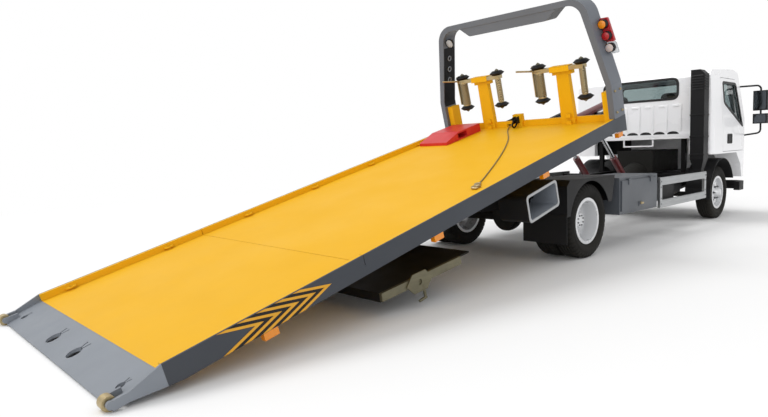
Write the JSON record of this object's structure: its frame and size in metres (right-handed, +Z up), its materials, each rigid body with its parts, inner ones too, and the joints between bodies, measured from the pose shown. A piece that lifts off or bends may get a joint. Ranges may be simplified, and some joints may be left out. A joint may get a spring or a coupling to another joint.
{
  "type": "slide-bed tow truck",
  "caption": "Light cab-over tow truck with its slide-back bed run out and its tail on the ground, an arch behind the cab, a winch with rope, and wheel dollies.",
  "frame": {"origin": "on the ground under the middle of the whole truck, with the bed run back", "axes": "+X forwards, +Y to the truck's left, +Z up"},
  "size_m": [9.8302, 2.66, 2.6909],
  "materials": {
    "yellow_paint": "satin",
    "grey_paint": "satin",
    "black_paint": "satin",
    "cab_white": "gloss",
    "black_plastic": "matte",
    "tyre_rubber": "matte",
    "wheel_silver": "satin",
    "axle_steel": "matte",
    "machined_steel": "satin",
    "aluminium": "satin",
    "zinc": "satin",
    "maroon_paint": "gloss",
    "chrome_rod": "gloss",
    "amber_lens": "gloss",
    "clear_lens": "gloss",
    "window_glass": "clear",
    "red_plastic": "gloss",
    "seat_fabric": "woven",
    "rope_steel": "satin"
  },
  "bodies": {
    "chassis": {"chassis_frame": "black_paint", "axles": "axle_steel", "leaf_springs": "axle_steel", "drive_line": "axle_steel", "fuel_tank": "aluminium", "toolbox": "grey_paint", "side_guards": "aluminium", "battery_box": "black_plastic", "mudguards": "black_plastic", "air_intake": "black_plastic", "front_bumper": "black_plastic"},
    "toolbox_lid": {"toolbox_lid": "grey_paint"},
    "cab": {"cab_shell": "cab_white", "cab_glass": "window_glass", "grille": "black_plastic", "headlamps": "clear_lens", "mirrors": "black_plastic", "seats": "seat_fabric", "dashboard": "black_plastic"},
    "door_right": {"door_right": "cab_white", "door_glass_right": "window_glass"},
    "door_left": {"door_left": "cab_white", "door_glass_left": "window_glass"},
    "knuckle_left": {"knuckle_left": "axle_steel"},
    "knuckle_right": {"knuckle_right": "axle_steel"},
    "front_wheel_left": {"front_tyre_left": "tyre_rubber", "front_rim_left": "wheel_silver"},
    "front_wheel_right": {"front_tyre_right": "tyre_rubber", "front_rim_right": "wheel_silver"},
    "rear_wheels_left": {"rear_tyres_left": "tyre_rubber", "rear_rims_left": "wheel_silver"},
    "rear_wheels_right": {"rear_tyres_right": "tyre_rubber", "rear_rims_right": "wheel_silver"},
    "tilt_frame": {"tilt_frame": "black_paint", "slide_barrel": "maroon_paint", "side_trays": "aluminium", "rear_apron": "black_paint", "apron_bars": "zinc"},
    "tilt_barrels": {"tilt_barrels": "maroon_paint"},
    "tilt_rods": {"tilt_rods": "chrome_rod"},
    "bed": {"bed_deck": "yellow_paint", "bed_rails": "grey_paint", "bed_underframe": "black_paint", "slide_rod": "chrome_rod", "tail_plate": "grey_paint", "arch": "grey_paint", "bed_lamps": "amber_lens", "dolly_frames": "zinc", "dolly_casters": "black_plastic", "winch": "black_paint", "winch_rope": "rope_steel", "rope_hook": "machined_steel", "ramp_block": "red_plastic"},
    "tail_roller_left": {"tail_roller_left": "zinc"},
    "tail_roller_right": {"tail_roller_right": "zinc"}
  },
  "joints": [
    {"name": "bed_tilt", "type": "hinge", "parent": "chassis", "child": "tilt_frame", "pos_m": [-1.16487, 0, 0.7], "axis": [0, 1, 0], "range_deg": [0, 14.4]},
    {"name": "bed_slide", "type": "slide", "parent": "tilt_frame", "child": "bed", "axis": [0.9686, 0, 0.2487], "range_m": [0, 2.0653]},
    {"name": "tilt_barrel_swing", "type": "hinge", "parent": "chassis", "child": "tilt_barrels", "pos_m": [2.38513, 0, 0.612], "axis": [0, 1, 0], "range_deg": [-40.26, 0]},
    {"name": "tilt_rod_stroke", "type": "slide", "parent": "tilt_barrels", "child": "tilt_rods", "axis": [0.7483, 0, -0.6633], "range_m": [0, 0.3429]},
    {"name": "cab_tilt", "type": "hinge", "parent": "chassis", "child": "cab", "pos_m": [4.83013, 0, 0.47], "axis": [0, 1, 0], "range_deg": [0, 45]},
    {"name": "door_right_swing", "type": "hinge", "parent": "cab", "child": "door_right", "pos_m": [4.74013, -1.046, 1.4], "axis": [0, 0, 1], "range_deg": [0, 70]},
    {"name": "door_left_swing", "type": "hinge", "parent": "cab", "child": "door_left", "pos_m": [4.74013, 1.046, 1.4], "axis": [0, 0, -1], "range_deg": [0, 70]},
    {"name": "toolbox_lid_lift", "type": "hinge", "parent": "chassis", "child": "toolbox_lid", "pos_m": [1.04513, -1.058, 0.764], "axis": [-1, 0, 0], "range_deg": [0, 90]},
    {"name": "steer_left", "type": "hinge", "parent": "chassis", "child": "knuckle_left", "pos_m": [3.85513, 0.8, 0.385], "axis": [0, 0, 1], "range_deg": [-35, 35]},
    {"name": "steer_right", "type": "hinge", "parent": "chassis", "child": "knuckle_right", "pos_m": [3.85513, -0.8, 0.385], "axis": [0, 0, 1], "range_deg": [-35, 35]},
    {"name": "front_wheel_left_spin", "type": "hinge", "parent": "knuckle_left", "child": "front_wheel_left", "pos_m": [3.85513, 0.8775, 0.385], "axis": [0, 1, 0], "continuous": true},
    {"name": "rear_wheels_left_spin", "type": "hinge", "parent": "chassis", "child": "rear_wheels_left", "pos_m": [-0.06487, 0.7825, 0.385], "axis": [0, 1, 0], "continuous": true},
    {"name": "tail_roller_left_spin", "type": "hinge", "parent": "bed", "child": "tail_roller_left", "pos_m": [-4.87713, 1.085, 0.038], "axis": [0, 1, 0], "continuous": true},
    {"name": "front_wheel_right_spin", "type": "hinge", "parent": "knuckle_right", "child": "front_wheel_right", "pos_m": [3.85513, -0.8775, 0.385], "axis": [0, 1, 0], "continuous": true},
    {"name": "rear_wheels_right_spin", "type": "hinge", "parent": "chassis", "child": "rear_wheels_right", "pos_m": [-0.06487, -0.7825, 0.385], "axis": [0, 1, 0], "continuous": true},
    {"name": "tail_roller_right_spin", "type": "hinge", "parent": "bed", "child": "tail_roller_right", "pos_m": [-4.87713, -1.085, 0.038], "axis": [0, 1, 0], "continuous": true}
  ],
  "couplings": [
    {"joint": "tilt_barrel_swing", "follows": "bed_tilt", "ratio": -2.7954},
    {"joint": "tilt_rod_stroke", "follows": "bed_tilt", "m_per_rad": 1.364},
    {"joint": "steer_right", "follows": "steer_left", "ratio": 1}
  ]
}
